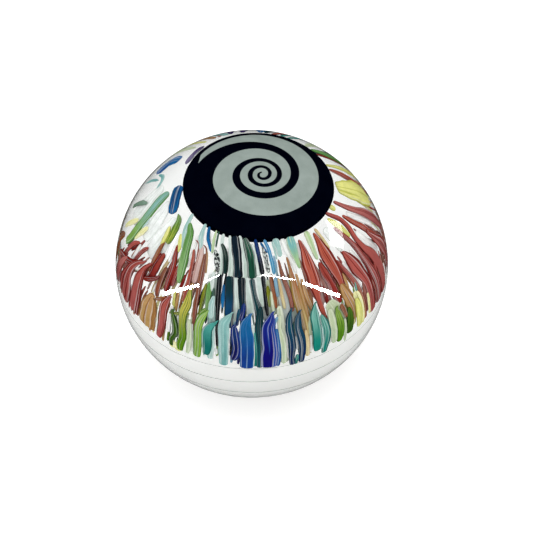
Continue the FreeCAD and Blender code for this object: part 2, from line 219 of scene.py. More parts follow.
# top colour, bottom colour, colour of the fine lines and edges, each 0 to 255
PALETTE = {
    "ink": ((8, 14, 22), (6, 12, 20), (2, 4, 10)),
    "flecked": ((10, 18, 20), (12, 14, 18), (4, 6, 10)),
    "dark_green": ((12, 52, 40), (10, 44, 40), (4, 20, 16)),
    "bottle": ((36, 86, 66), (16, 66, 48), (6, 36, 26)),
    "navy_green": ((8, 26, 40), (8, 34, 44), (2, 8, 20)),
    "black_teal": ((4, 22, 30), (10, 54, 70), (2, 8, 14)),
    "ink_navy": ((10, 50, 110), (10, 16, 26), (4, 8, 16)),
    "blue": ((20, 100, 160), (60, 130, 170), (120, 180, 200)),
    "pale_aqua": ((146, 184, 180), (158, 190, 184), (196, 212, 208)),
    "aqua_leaf": ((110, 170, 170), (150, 184, 130), (180, 200, 170)),
    "dark_teal": ((8, 44, 50), (8, 66, 110), (4, 26, 36)),
    "sea_teal": ((10, 56, 62), (12, 84, 92), (6, 34, 40)),
    "red_brown": ((130, 82, 62), (142, 72, 50), (96, 40, 24)),
    "brown_tan": ((150, 88, 58), (206, 190, 132), (150, 120, 60)),
    "ruby": ((172, 84, 66), (162, 74, 60), (106, 18, 10)),
    "ruby_deep": ((146, 58, 48), (134, 34, 28), (96, 8, 6)),
    "ruby_dark": ((122, 30, 20), (116, 20, 14), (84, 6, 4)),
    "ruby_rose": ((166, 80, 72), (160, 80, 76), (104, 18, 14)),
    "ruby_tan": ((150, 60, 56), (176, 124, 84), (130, 50, 34)),
    "pale_green": ((166, 194, 140), (164, 190, 150), (196, 206, 170)),
    "rose": ((176, 104, 98), (156, 84, 82), (120, 38, 34)),
    "pale_rose": ((206, 180, 172), (190, 160, 154), (160, 110, 100)),
    "rose_brown": ((150, 92, 80), (136, 86, 80), (104, 50, 42)),
    "yellow": ((224, 222, 134), (214, 214, 126), (186, 188, 84)),
    "pale_yellow": ((226, 224, 160), (220, 220, 150), (240, 236, 190)),
    "green": ((104, 152, 84), (126, 162, 104), (70, 118, 50)),
    "moss": ((104, 144, 66), (150, 164, 60), (76, 110, 30)),
    "aqua_lime": ((128, 174, 170), (122, 162, 76), (92, 134, 66)),
    "edge_blue": ((18, 86, 134), (16, 102, 158), (8, 56, 104)),
    "purple": ((60, 42, 92), (116, 106, 140), (40, 34, 80)),
    "cobalt": ((14, 92, 146), (10, 54, 128), (40, 100, 156)),
    "tan": ((180, 140, 92), (176, 140, 84), (140, 96, 50)),
    "pale_tan": ((206, 186, 140), (206, 196, 150), (176, 140, 90)),
    "pine": ((70, 104, 20), (50, 84, 10), (26, 60, 4)),
    "olive": ((190, 180, 80), (84, 126, 14), (50, 96, 6)),
    "dark_olive": ((120, 124, 24), (104, 116, 30), (80, 90, 10)),
    "sage": ((184, 196, 160), (172, 188, 156), (206, 214, 190)),
    "lime": ((142, 174, 84), (126, 162, 64), (90, 136, 42)),
    "teal": ((70, 150, 140), (10, 104, 96), (6, 84, 78)),
    "aqua": ((122, 172, 168), (104, 158, 156), (150, 190, 186)),
    "navy": ((10, 44, 100), (4, 6, 76), (16, 40, 118)),
    "ultramarine": ((14, 30, 120), (5, 0, 104), (36, 70, 150)),
    "navy_teal": ((8, 72, 92), (4, 30, 76), (4, 48, 74)),
    "teal_green": ((110, 172, 158), (12, 126, 112), (8, 96, 90)),
    "grass": ((130, 160, 64), (80, 128, 16), (54, 100, 8)),
    "grey_blue": ((130, 166, 186), (120, 150, 160), (80, 130, 170)),
    "pale_grey": ((190, 204, 198), (176, 192, 182), (214, 222, 218)),
    "grey_green": ((120, 150, 130), (104, 130, 110), (84, 110, 96)),
    "white": ((250, 250, 248), (250, 250, 248), (236, 238, 236)),
    "milky": ((240, 243, 241), (236, 240, 238), (222, 227, 223)),
    "brown": ((140, 84, 44), (150, 90, 56), (106, 50, 24)),
}
FLECKS = {"flecked": 9.0}
materials = {}
for name, tones in PALETTE.items():
    top, bottom, line = (rgb(*tone) for tone in tones)
    materials[name] = cane_glass("cane_" + name, top, bottom, line, FLECKS.get(name))

# ---------------------------------------------------------------- where the canes lie
# Polar angle runs from the crown down, and azimuth from the front (-Y) round to the right.
# name, palette name, record slot, knots of (polar angle, azimuth, width) in degrees
UPPER = [
    ("black_white", "flecked", "flecked",
     [(39, -24.7, 1.6), (41.5, -22.2, 3), (45, -20.3, 3), (48, -19.1, 2)]),
    ("dark_green", "dark_green", "dark_green",
     [(35.5, -21.7, 1.4), (38, -18.3, 2.2), (42, -15.9, 2.4), (48, -14.6, 2)]),
    ("navy_green", "navy_green", "ink",
     [(31.2, -12.7, 4), (37, -10, 3.8), (41, -8.5, 3.4), (45, -7.6, 3.2), (49, -7.1, 3.2)]),
    ("bottle_green", "bottle", "dark_green",
     [(31.6, -4.9, 2.4), (37, -1.4, 3.6), (41, 0, 3.4), (45, 0.5, 3.2), (49, 0.8, 3)]),
    ("ink_navy", "ink_navy", "ink",
     [(32.1, 3.6, 2), (37, 4.8, 2.2), (42, 6, 2.1), (47.5, 6.8, 2)]),
    ("mid_blue", "blue", "blue",
     [(32.6, 10.5, 2), (37, 12.5, 2.2), (42, 13.2, 2), (48, 13.4, 1.6)]),
    ("pale_aqua", "pale_aqua", "aqua",
     [(33, 18.9, 4.6), (37, 19.4, 3.6), (41.2, 19.3, 2.6)]),
    ("aqua_leaf", "aqua_leaf", "pale_green",
     [(34.2, 30.3, 6), (38, 29.5, 5.2), (43, 28.9, 3.4), (48.5, 28.7, 1.2)]),
    ("near_black", "ink", "ink",
     [(48.4, -17.5, 2.2), (54, -16.7, 2.2), (61, -15.9, 1.9), (68, -15.4, 1.6), (76, -14.7, 1.5),
      (83, -14.3, 1.2)]),
    ("dark_teal", "dark_teal", "teal",
     [(48.4, -11.7, 3.2), (54, -11, 3.4), (60, -10.3, 3.6), (66, -9.9, 3), (72, -9, 1.4)]),
    ("black_teal", "black_teal", "ink",
     [(48.4, -5.1, 3.2), (54, -4.6, 2.8), (60, -4.1, 2.4), (66, -3.8, 1.8), (72, -3.9, 1.2)]),
    ("sea_teal", "sea_teal", "teal",
     [(49, 0.5, 2.6), (54, 1.4, 2), (58, 2.3, 2.2), (62, 3.4, 2.8), (68, 3.8, 2.8), (76, 4.1, 2.6),
      (84, 4.3, 2.4), (91, 4.1, 2)]),
    ("red_brown", "red_brown", "ruby",
     [(42, 17.6, 1), (48, 17.8, 1.8), (54, 18.9, 2.1), (60, 19.7, 1.9), (66, 19.7, 1.2)]),
    ("brown_tan", "brown_tan", "tan",
     [(42, 23.1, 1), (47, 23.1, 1.6), (52, 22.9, 2.8), (60, 22.9, 3.6), (66, 23.5, 3.4), (74, 24.3, 3),
      (84, 24.9, 2.2), (91, 25, 1.6)]),
    ("ruby_leaf", "ruby", "ruby",
     [(37, 35.7, 1.4), (42, 35.4, 3.4), (48, 34.5, 5.8), (53, 34.3, 5.2), (58, 33.9, 4.6),
      (64, 33.5, 2.4), (70, 33.9, 2), (76, 34.9, 1.4)]),
    ("pale_green", "pale_green", "pale_green",
     [(35.5, 43.9, 3.6), (40, 42.7, 3.4), (45, 41.3, 2.4), (48.6, 40.9, 1.4)]),
    ("ruby_short", "ruby_deep", "ruby",
     [(50, 40.9, 1.8), (55, 41.3, 3.8), (60, 42.1, 3.6), (66, 42.7, 3.8), (72, 43.9, 2.4)]),
    ("ruby_broad", "ruby", "ruby",
     [(38, 48.3, 1.6), (42, 47.9, 4.2), (47, 47.3, 6.8), (52, 47.5, 7.2), (57, 47.9, 6.2), (63, 48, 4.2),
      (69, 47.5, 1.8)]),
    ("ruby_long", "ruby_rose", "ruby",
     [(53, 57.5, 1.4), (58, 58.9, 5), (63, 60.1, 6.6), (68, 61.5, 5.8), (74, 63.1, 4.6), (82, 63.5, 4.4),
      (92, 63.5, 4)]),
    ("ruby_twin_left", "ruby_rose", "ruby",
     [(43, 63.5, 1.6), (50, 65.3, 2.8), (55.6, 66.7, 3), (62.4, 67.3, 3.2), (69, 68.3, 3.8),
      (74, 69.1, 5), (80, 69.9, 5.4), (88, 70.1, 5), (92, 70.1, 4.2)]),
    ("ruby_twin_right", "ruby_rose", "ruby",
     [(36.3, 67.9, 2), (39, 69.5, 2.6), (43.3, 72.1, 3), (47, 72.5, 3), (50, 72.1, 3), (55.2, 70.7, 2.6),
      (61.6, 71.7, 3.2), (66, 73.7, 4.4), (70.3, 75.1, 5.2), (78, 76.5, 5.4), (86, 76.7, 5.2),
      (92, 76.5, 4.4)]),
    ("russet", "ruby", "ruby",
     [(44, 75.9, 1.6), (50, 77.8, 2.8), (57, 81.1, 3), (62.1, 82.9, 3), (68.5, 86.5, 2.2)]),
    ("rose_side", "rose", "rose",
     [(38, 81.5, 2), (44, 83.7, 3), (50, 86.9, 3.6), (57, 91.1, 4.6), (65, 94.6, 5.6), (73.6, 97.1, 4)]),
    ("yellow_side", "yellow", "yellow",
     [(39.5, 96.5, 5), (46, 99.5, 8), (52, 102.5, 9), (58, 105, 8), (64, 107, 5)]),
    ("brown_rose", "red_brown", "rose",
     [(42, -29.9, 1.2), (47, -28.9, 1.8), (54, -27.7, 1.9), (60, -26.9, 2), (70, -26.2, 1.8),
      (78, -25.5, 1.2)]),
    ("brown_red", "ruby", "ruby",
     [(42.5, -38.1, 1.2), (46, -35.9, 1.9), (52, -34.2, 2), (58, -33.2, 2), (66, -32.7, 1.4)]),
    ("leaf_green", "green", "green",
     [(34.2, -52.7, 1.6), (36, -49.7, 3.4), (38, -46.7, 4.6), (44, -43.2, 5), (50, -40.7, 4.6),
      (55, -39.2, 3.4), (59, -38.3, 1.8)]),
    ("moss_green", "moss", "green",
     [(36, -66.2, 1.6), (37, -61.7, 3.4), (40, -59.1, 4.2), (44, -57.3, 4.2), (48, -56.3, 2.8)]),
    ("aqua_lime", "aqua_lime", "aqua",
     [(37.5, -89.7, 4), (42, -87.7, 5.6), (47, -84.7, 5.6), (52, -82.7, 5.2), (58, -81.7, 4.6),
      (64, -81.7, 4), (69, -83.7, 2.4)]),
    ("blue_edge", "edge_blue", "blue",
     [(32, -92.2, 5), (33.6, -85, 6), (35.8, -76.6, 5.7), (38.3, -69.7, 4)]),
    ("ruby_left_wide", "ruby_deep", "ruby",
     [(52, -53.9, 2.6), (58, -54.2, 3.4), (64, -54.5, 3.2), (68, -55.7, 2)]),
    ("ruby_left_hook", "ruby_deep", "ruby",
     [(45, -49.7, 1), (49, -47.3, 2.4), (54, -45.1, 2.8), (60, -44.3, 2.8), (66, -43.9, 2)]),
    ("purple_rear", "purple", "purple",
     [(34.6, -141.5, 3), (34.4, -136, 4), (33.8, -129, 4.2), (33.2, -122, 4), (33, -117, 2.6)]),
    ("cobalt_rear", "cobalt", "blue",
     [(39.7, -123.5, 3.2), (43, -124.2, 4.5), (46, -123.2, 4.5), (48.5, -119.8, 4.4), (50.6, -115, 3)]),
    ("aqua_rear", "aqua", "aqua",
     [(38, -163, 3), (50, -158, 6), (64, -156, 7), (78, -158, 6), (91, -157, 4)]),
    ("ruby_rear", "ruby", "ruby",
     [(38, 165, 3), (50, 161, 5), (64, 160, 7), (78, 162, 6), (91, 161, 4)]),
    ("green_rear", "green", "green",
     [(39, 135, 3), (50, 131, 6), (64, 129, 6), (78, 131, 6), (91, 130, 4)]),
]
LOWER = [
    ("ruby_fan", "ruby_rose", "ruby",
     [(62, -61.7, 1.4), (65, -65.3, 2.6), (70, -68.3, 4.6), (75, -69.3, 8), (80, -69.5, 11),
      (86, -69.7, 11), (88.5, -70.7, 6)]),
    ("ruby_wide", "ruby_rose", "ruby",
     [(60, -57.2, 1.4), (64, -59.7, 3), (70, -60.3, 6), (76, -59.7, 7.4), (82, -59.5, 7.6),
      (88.5, -60.1, 7)]),
    ("rose_wide", "rose", "rose",
     [(71, -75.1, 1.6), (76, -77.7, 3.6), (82, -79.1, 5), (88, -79.7, 4.4)]),
    ("tan_wide", "tan", "tan",
     [(72, -49.1, 4), (77, -49.5, 8), (83, -49.7, 9), (89, -49.7, 8)]),
    ("ruby_strip", "ruby_rose", "ruby",
     [(67, -40.1, 1.8), (72, -41.5, 4), (78, -41.1, 3.8), (84, -41.3, 3), (90, -42.5, 2.4)]),
    ("pine_green", "pine", "dark_green",
     [(72, -36.9, 1.6), (76, -35, 2.4), (80, -33.9, 2.6), (83, -34.1, 2.4), (86, -35.5, 2.2),
      (90.5, -35.5, 1.8)]),
    ("olive_green", "olive", "green",
     [(59, -30.5, 1.2), (65, -30.3, 3.6), (70, -31.3, 3.4), (76, -30.9, 3.2), (82, -30.1, 3.2),
      (87, -31.1, 2.8), (91, -31.1, 2.2)]),
    ("lime", "lime", "green",
     [(66, -20.3, 1.2), (69, -22.1, 3), (74, -23.3, 3), (80, -22.9, 3.2), (86, -22.9, 3),
      (91, -23.3, 2.4)]),
    ("teal", "teal", "teal",
     [(69.8, -15.5, 0.9), (72, -17.7, 3), (75, -19, 4), (80, -18.9, 4), (85, -18.8, 3.4),
      (88, -19.5, 2.2)]),
    ("aqua", "aqua", "aqua",
     [(65, -9.1, 0.9), (67.5, -10.7, 3), (70, -11.9, 4), (76, -11.7, 4), (82, -11.6, 3.8),
      (88, -11.5, 3.4), (92.5, -11.6, 2.8)]),
    ("navy", "navy", "navy",
     [(70.8, -7.3, 1.8), (74, -6.9, 2.8), (78, -6.3, 3), (82, -6, 2.8), (85.5, -6.5, 2.8),
      (88.5, -7.7, 2.2)]),
    ("cobalt", "cobalt", "blue",
     [(65.2, -0.5, 1.4), (68, -1.8, 3.8), (71, -2.3, 4.6), (76, -1.8, 5), (82, -1.6, 5), (88, -1.7, 5.2),
      (93.3, -1.9, 4.6)]),
    ("ultramarine", "ultramarine", "ultramarine",
     [(65, 9.7, 1.2), (68, 8.9, 3.6), (71, 7.7, 4.8), (76, 7.8, 5.6), (82, 8.1, 6), (88, 7.7, 6),
      (93.3, 7.6, 5.4)]),
    ("navy_teal_left", "navy_teal", "navy",
     [(65, 18.5, 0.9), (68, 17.4, 2.4), (73, 16.9, 2.7), (79, 17.5, 2.7), (84, 17.6, 2.6),
      (89, 17.2, 2.2), (94, 17.6, 2)]),
    ("navy_teal_right", "navy_teal", "navy",
     [(67, 22.3, 1), (69.5, 21.3, 2.6), (74, 20.9, 3), (80, 21.8, 2.9), (85, 22, 2.8), (90, 21.6, 2.6),
      (93.5, 21.4, 2.4)]),
    ("teal_green", "teal_green", "teal",
     [(66, 30.3, 1), (70, 29.3, 3.4), (75, 29.2, 3.9), (80, 29.3, 3.7), (85, 29.1, 3.5), (90, 28.6, 2.6)]),
    ("grass_green", "grass", "green",
     [(73, 40.3, 1.2), (76, 40.6, 2.8), (82, 41.2, 3.2), (87, 40.8, 3), (91, 39.6, 2.4)]),
    ("rose_right", "rose", "rose",
     [(60, 80, 2), (66, 82.5, 4), (72, 85.5, 6), (78, 87, 6.5), (86, 85.5, 5)]),
    ("blue_rear", "cobalt", "blue",
     [(66, -176, 2), (72, -180, 5), (80, -179, 7), (88, -180, 6)]),
]
# palette name, knots; canes too thin to be nodes of their own
THIN_UPPER = [
    ("pale_aqua", [(30.6, -40.7, 2.4), (36, -38.2, 3.1), (39.5, -35.2, 2.6), (42, -33.5, 1.2)]),
    ("edge_blue", [(30.8, -36.3, 1.9), (35.5, -32.7, 2.3), (38, -29.3, 2), (40.5, -26.7, 1.2)]),
    ("pale_green", [(31, -29.2, 1.4), (36, -27.7, 1.9), (39, -26.3, 1.7), (41, -25.7, 1)]),
    ("bottle", [(31, -26.9, 1), (35.5, -25.4, 1.2), (38, -24.5, 0.8)]),
    ("pale_grey", [(31.4, -22.5, 2.2), (38, -20.4, 2.4), (43, -18.3, 2.4), (47, -17.5, 1.9), (50, -17.5, 1)]),
    ("pale_grey", [(31.4, -17.1, 1.9), (38, -13.7, 2.6), (43, -11.7, 3.4), (49.1, -11.2, 3.4)]),
    ("pale_grey", [(30.8, -9.1, 2.4), (37, -5.9, 3.4), (41, -4.4, 4.1), (45, -3.8, 4.1),
     (49.1, -3.3, 4.1)]),
    ("pale_grey", [(34, 0.7, 1.4), (37, 2.5, 2.2), (42, 3.5, 2.6), (48, 4.1, 3.1)]),
    ("flecked", [(34.5, 8.7, 1.4), (38, 9.4, 2.4), (42, 9.8, 2.4), (47, 10.4, 1.9)]),
    ("edge_blue", [(33.6, 7.4, 1.7), (36, 9.3, 1.4), (38.5, 11.2, 1.1)]),
    ("grey_blue", [(40, 15.2, 1), (44, 15.3, 1.3), (49, 14.8, 1)]),
    ("pale_aqua", [(34, 16.2, 1.2), (38, 16.6, 1.2), (42, 16.7, 1)]),
    ("pale_tan", [(37, 51.1, 1.9), (42, 51.3, 1.7), (48, 51.3, 1.2)]),
    ("pale_grey", [(48, -21.3, 1.4), (53, -20.7, 1.9), (57, -20.3, 1.2)]),
    ("green", [(53, -21.9, 1.9), (58, -21.4, 2.4), (63, -21, 1.9), (66, -20.7, 1.2)]),
    ("bottle", [(55, -19.3, 1.1), (59, -18.9, 1.4), (63, -18.6, 1)]),
    ("dark_olive", [(54, -23.7, 1.1), (60, -23.9, 1.6), (66, -24.1, 1.3), (70, -24.2, 1)]),
    ("edge_blue", [(52.5, -14.3, 1.1), (58, -13.9, 1.7), (63, -13.4, 1.1)]),
    ("pale_grey", [(48.2, -8.4, 1.9), (54, -7.7, 2.6), (60, -6.9, 2.9), (66, -6.6, 2.9), (70.5, -7, 1.7)]),
    ("pale_grey", [(48.2, -2.1, 2.9), (54, -1.4, 3.4), (58, -0.7, 3.4), (62, -0.3, 3.1), (66, -0.6, 1.9)]),
    ("pale_grey", [(48.2, 3.7, 3.1), (53, 4.3, 3.4), (58, 4.9, 2.6), (62, 5.7, 1.4)]),
    ("ink", [(48, 6.8, 2.2), (54, 7, 1.9), (60, 7.4, 1.7), (66, 7.8, 1.1)]),
    ("dark_olive", [(52.5, 8.9, 1.4), (57, 9, 1.9), (62, 9.1, 1.2)]),
    ("sage", [(55, 10.3, 1), (60, 10.5, 1.4), (66, 10.9, 1)]),
    ("brown", [(48, 11, 1.2), (53, 11.4, 1.6), (58, 11.9, 1.8), (63, 12.2, 1.1)]),
    ("grey_blue", [(49, 13.6, 1.4), (53, 13.5, 1.6), (58, 13.6, 1.1)]),
    ("pale_tan", [(50, 15.4, 1.1), (57, 15.7, 1.6), (64, 16.2, 1.1)]),
    ("tan", [(50, 25.6, 1.1), (60, 25.9, 1.4), (70, 26.5, 1.4), (79, 26.7, 1.2)]),
    ("tan", [(53, 27.7, 1.4), (60, 27.9, 2.4), (66, 28.9, 2.2), (71, 29.9, 1.2)]),
    ("ruby_dark", [(60, 37.7, 1.4), (65, 37.7, 2.2), (70, 37.7, 1.4)]),
    ("ruby_tan", [(54, 51.3, 1.4), (60, 52.9, 1.9), (68, 55.3, 2.2), (74, 56.5, 2.2), (82, 57.1, 2.4),
     (91, 57.1, 2.4)]),
    ("tan", [(60, 50.1, 1.2), (64, 50.6, 1.8), (69, 50.5, 1)]),
    ("yellow", [(38.5, 65.1, 1.9), (42, 66.5, 3.4), (47, 67.7, 3.4), (52, 68.5, 1.7)]),
    ("tan", [(71, 47.1, 1.7), (76, 48.5, 2.9), (83, 49.7, 2.6), (88, 49.7, 1.4)]),
    ("yellow", [(36.5, 75.5, 3.6), (40, 76.5, 3.6)]),
    ("rose", [(68, 72.9, 1.4), (75, 74.7, 2.2), (84, 75.1, 2.2), (91, 74.7, 1.9)]),
    ("pale_aqua", [(30.8, -56.7, 2.4), (37, -52.1, 3.6), (41, -48.3, 3.6), (45, -45.2, 1.4)]),
    ("yellow", [(40.5, -52.7, 1.2), (42.5, -50.1, 2.6), (45, -48.1, 2.4), (47.5, -46.7, 1.2)]),
    ("yellow", [(42, -63.3, 1.4), (45, -61.1, 2.9), (48.5, -59.7, 2.4), (51, -59.1, 1.2)]),
    ("pale_rose", [(39.5, -34.2, 1.9), (44, -32.3, 3.4), (50, -31.1, 3.6), (56, -30.5, 2.2)]),
    ("brown", [(48, -59.1, 1.7), (53, -58.3, 2.3), (58, -57.7, 2.3), (64, -57.5, 1.7)]),
    ("ruby_dark", [(53, -56.3, 1), (58, -56.3, 1.4), (64, -56.5, 1.2)]),
    ("ruby_deep", [(52, -41.9, 2.4), (57, -41.7, 2.6), (62, -41.3, 1.9)]),
    ("red_brown", [(56, -48.3, 1.7), (62, -48.7, 2.6), (68, -48.2, 2.6), (71, -47.3, 1.7)]),
    ("ruby_rose", [(56.5, -65.3, 1.4), (60, -67.5, 2.2), (66, -69.1, 2.2), (73, -69.7, 1.7)]),
    ("ruby_rose", [(59.5, -72.7, 1.4), (63, -76.3, 2.2), (68, -78.1, 2.4), (72, -78.7, 1.9)]),
    ("ruby_dark", [(54, -36.3, 1.2), (58, -36.3, 1.4), (61, -36.5, 1)]),
    ("tan", [(63, -36.5, 1.2), (68, -36.1, 1.4), (72, -35.5, 1)]),
    ("tan", [(56, -30.7, 1.7), (60, -31.1, 3.1), (65, -31.1, 3.1), (69, -30.7, 1.7)]),
    ("pale_yellow", [(57, -86.2, 1.7), (61, -88.7, 2.9), (65, -91.2, 2.4), (69, -93.2, 1.7)]),
    ("grey_green", [(50.5, -92.2, 1.2), (54, -95.7, 2.4), (58, -98.3, 2.4), (63, -100.5, 1.9)]),
    ("pale_aqua", [(49, -80.5, 1.2), (52, -79.5, 2.4), (55.5, -79.3, 1.4)]),
    ("pale_yellow", [(52, -75.5, 1.9), (56, -76.7, 2.9), (60, -77.7, 1.9), (62, -78.1, 1)]),
    ("aqua", [(45.5, -100, 1), (43.5, -104, 2), (44, -109, 2.2), (48, -113, 1.4)]),
    ("rose_brown", [(38.7, -40.7, 0.8), (39.3, -37.2, 0.8), (42, -35.2, 0.8), (46, -33.7, 0.8)]),
    ("red_brown", [(39, -33.7, 0.8), (39.8, -30.7, 0.8), (43, -28.7, 0.9), (50, -26.7, 1), (60, -26, 1)]),
    ("tan", [(40.5, -29.7, 0.8), (44, -27.5, 0.9), (50, -25.5, 0.8)]),
    ("yellow", [(62, -38.9, 0.8), (70, -37.5, 1.4)]),
    ("tan", [(62, -27.1, 2), (70, -26.3, 2.4), (79, -26.1, 2)]),
    ("lime", [(65, -20.7, 2), (68, -22.7, 3), (72, -24.2, 3)]),
    ("pale_aqua", [(61, -18.7, 2), (66, -18.1, 3.4), (70, -17.7, 4), (75, -17.1, 2.6)]),
    ("aqua", [(58, -112.7, 1.4), (51.4, -110.6, 1.8), (46.1, -107.1, 1.4)]),
]
THIN_LOWER = [
    ("rose_brown", [(74, -83.2, 1.9), (78, -81.1, 4.3), (83, -80.3, 5.3), (89, -82.2, 4.8)]),
    ("brown", [(68, -86.7, 1.8), (73, -90.2, 4.1), (79, -89.7, 5.5), (86, -88.7, 5.3)]),
    ("ruby_dark", [(75.5, -84.7, 1.9), (73, -79.7, 2.4), (70.5, -73.7, 2.4), (67.5, -68.7, 2.2),
     (64.5, -65.2, 1.7)]),
    ("ruby_dark", [(68, -58.2, 1.7), (66, -54.7, 2.2), (63.5, -51.2, 1.9), (61, -49.2, 1.2)]),
    ("brown", [(71.5, -47.2, 1.4), (69.5, -43.7, 1.7), (67, -40.7, 1.4)]),
    ("dark_olive", [(73.3, -38.3, 1.1), (72, -34.7, 1.3), (70.6, -30.7, 1.3), (69.5, -28.3, 1)]),
    ("sage", [(72, -28.1, 1.2), (78, -27.1, 1.9), (85, -27, 1.9), (91, -27.7, 1.6)]),
    ("pale_aqua", [(58, -18.1, 1.1), (62, -18.6, 2.4), (66, -18.3, 2.4), (68.6, -18.1, 1.4)]),
    ("pale_aqua", [(71, -16.3, 1.2), (76, -16.5, 1.7), (83, -16.5, 1.9), (90, -17.1, 1.7)]),
    ("pale_yellow", [(86.5, -34.7, 2.6), (88.5, -35.1, 2.6), (91.5, -35.1, 2.2)]),
    ("pale_yellow", [(87, -31.5, 3.8), (89.5, -32.1, 3.6), (92, -32.3, 2.4)]),
    ("navy", [(59.5, -3.1, 1.1), (63, -3.6, 1.9), (67.5, -4.6, 1.4)]),
    ("navy_teal", [(62, -5.3, 1), (65, -5.7, 1.4), (70, -6.1, 1.1)]),
    ("teal", [(72, 1.3, 1.2), (80, 1.8, 1.4), (86, 1.9, 1.4), (92, 1.6, 1.2)]),
    ("sea_teal", [(61, 4.8, 1.2), (65, 4.2, 2.6), (70, 3.6, 3.1), (76, 3.8, 2.9), (82, 3.9, 2.6),
     (88, 3.7, 2.4), (93, 3.6, 2.2)]),
    ("grey_blue", [(65.5, 10.4, 1), (68, 8.3, 1.2), (71, 6.6, 1)]),
    ("grey_blue", [(66.5, 12.1, 1), (69, 10.7, 1.2), (72, 9.7, 1)]),
    ("cobalt", [(72, 11.1, 1.1), (80, 11.8, 1.4), (87, 11.7, 1.6), (93, 11.1, 1.4)]),
    ("sage", [(66, 13.2, 1.4), (72, 12.7, 1.2), (78, 13.5, 1.9), (84, 13.9, 2), (92, 13.9, 1.7)]),
    ("teal", [(88, 19.6, 1.2), (91, 19.4, 1.4), (94, 18.9, 1.2)]),
    ("pale_tan", [(76, 24.1, 1.2), (83, 24.4, 1.9), (91, 24.3, 1.7)]),
    ("teal_green", [(71.5, 32.3, 1.1), (75, 33.1, 2.6), (80, 33.8, 3.6), (85, 33.4, 3.4),
     (89, 32.5, 2.9), (93, 31.9, 2.4)]),
    ("pale_aqua", [(77, 31.3, 1.1), (84, 31.4, 1.3), (90, 30.7, 1.2)]),
    ("sage", [(71, 36.9, 1.7), (76, 37.3, 2.8), (82, 37.5, 2.9), (90, 37.3, 2.2)]),
    ("sage", [(80, 43.7, 1.1), (86, 43.5, 1.4), (93, 42.9, 1.1)]),
    ("brown", [(72, 43.3, 1.9), (76, 44.3, 1.9), (80, 44.9, 1.2)]),
    ("pine", [(76, 46.9, 1.4), (80, 47, 3.1), (85, 46.5, 3.5), (90, 45.7, 3.1)]),
    ("yellow", [(75, 52.1, 1.7), (80, 52.9, 3.4), (86, 52.7, 3.6), (91, 52.1, 2.6)]),
    ("pale_yellow", [(72, 53.9, 1.2), (78, 55.1, 1.4), (86, 55.1, 1.4), (91, 54.7, 1.2)]),
    ("pale_yellow", [(78, 60.1, 1.1), (84, 59.9, 1.4), (90, 59.7, 1.2)]),
    ("pale_aqua", [(72, -17.3, 2.2), (80, -17.1, 2.4), (90, -17.5, 2.2)]),
    ("ink_navy", [(71, -8.3, 1), (78, -8.3, 1), (86, -8.7, 0.8)]),
    ("pale_grey", [(69, 0.9, 1), (80, 1.3, 1.2), (92, 1.1, 1)]),
]
# white and tinted glass that shows between the upper canes, a little deeper than they lie
BACKING_UPPER = [
    ("white", [(36, -41.1, 1.2), (41, -39.1, 1.3), (46, -38.3, 1.4), (51, -37.3, 1.2)]),
    ("white", [(32.5, -34.2, 1), (36, -31.2, 1.4), (38, -29.7, 1)]),
    ("white", [(36.5, -16.7, 0.8), (41, -14.5, 0.8), (45, -13.7, 0.8)]),
    ("white", [(33.6, 24.7, 3), (38, 24.7, 3), (44, 25.7, 2.4), (50, 26.3, 1.4)]),
    ("white", [(38, 34.1, 1.2), (43, 32.3, 1.4), (47, 31.3, 1)]),
    ("white", [(38, 38.3, 1.2), (44, 37.5, 1.4), (50, 37.3, 1)]),
    ("white", [(50, 43.9, 1.2), (58, 44.3, 1)]),
    ("white", [(57, 54.7, 2), (63, 55.9, 2.2), (70, 57.5, 2), (76, 58.5, 1.6)]),
    ("white", [(56, 63, 2), (63, 64.5, 2), (70, 65.9, 2), (78, 67.1, 2.4), (86, 68.5, 3), (91, 69, 3)]),
    ("white", [(54, 74.7, 3), (60, 75.9, 4), (66, 78.5, 4), (72, 80.5, 3)]),
    ("white", [(46, 80.5, 3), (52, 83.5, 3.4), (58, 87.1, 3.4), (64, 89.5, 2.4)]),
    ("white", [(46, -51.1, 1.5), (50, -50.3, 2), (54, -49.5, 1.2)]),
    ("white", [(66, -50.7, 1), (72, -50.9, 1)]),
    ("white", [(60, -72.3, 2), (68, -71.7, 2.4), (75, -72.3, 2.6)]),
    ("milky", [(38, -66, 5), (44, -63, 9), (52, -62, 12), (59, -64, 6)]),
    ("milky", [(37.5, -82, 6), (43, -77, 8), (50, -74, 9), (57, -73, 6)]),
    ("milky", [(42, -100, 6), (48, -95, 10), (55, -92, 12), (62, -91, 8)]),
    ("milky", [(40, 58, 5), (46, 59, 6), (53, 59, 4)]),
    ("pale_grey", [(49, -20, 7), (60, -19, 7), (68, -18, 5)]),
    ("pale_grey", [(49, 6, 5), (60, 6.5, 6), (68, 7, 5)]),
    ("pale_grey", [(49, 17, 6), (60, 18, 7), (70, 20, 8), (84, 22, 6)]),
    ("sage", [(50, 9.5, 3), (58, 10.5, 5), (66, 10.5, 5)]),
    ("yellow", [(52, 21.7, 1.5), (60, 21.2, 2), (66, 20.7, 1.5)]),
    ("tan", [(62, 47.7, 4), (66, 48.3, 5), (72, 48.7, 4)]),
    ("rose", [(62, 68.9, 4), (70, 71.5, 7), (78, 73.5, 10), (85, 74, 11), (92, 74, 10)]),
    ("rose_brown", [(66, 84.5, 5), (72, 87.5, 7), (80, 88.5, 6)]),
    ("sage", [(60, 24.7, 4), (68, 25.7, 5), (76, 26.7, 4)]),
    ("pale_rose", [(44, 33.7, 7), (52, 34.7, 8), (60, 35.7, 8), (68, 36.7, 6)]),
]
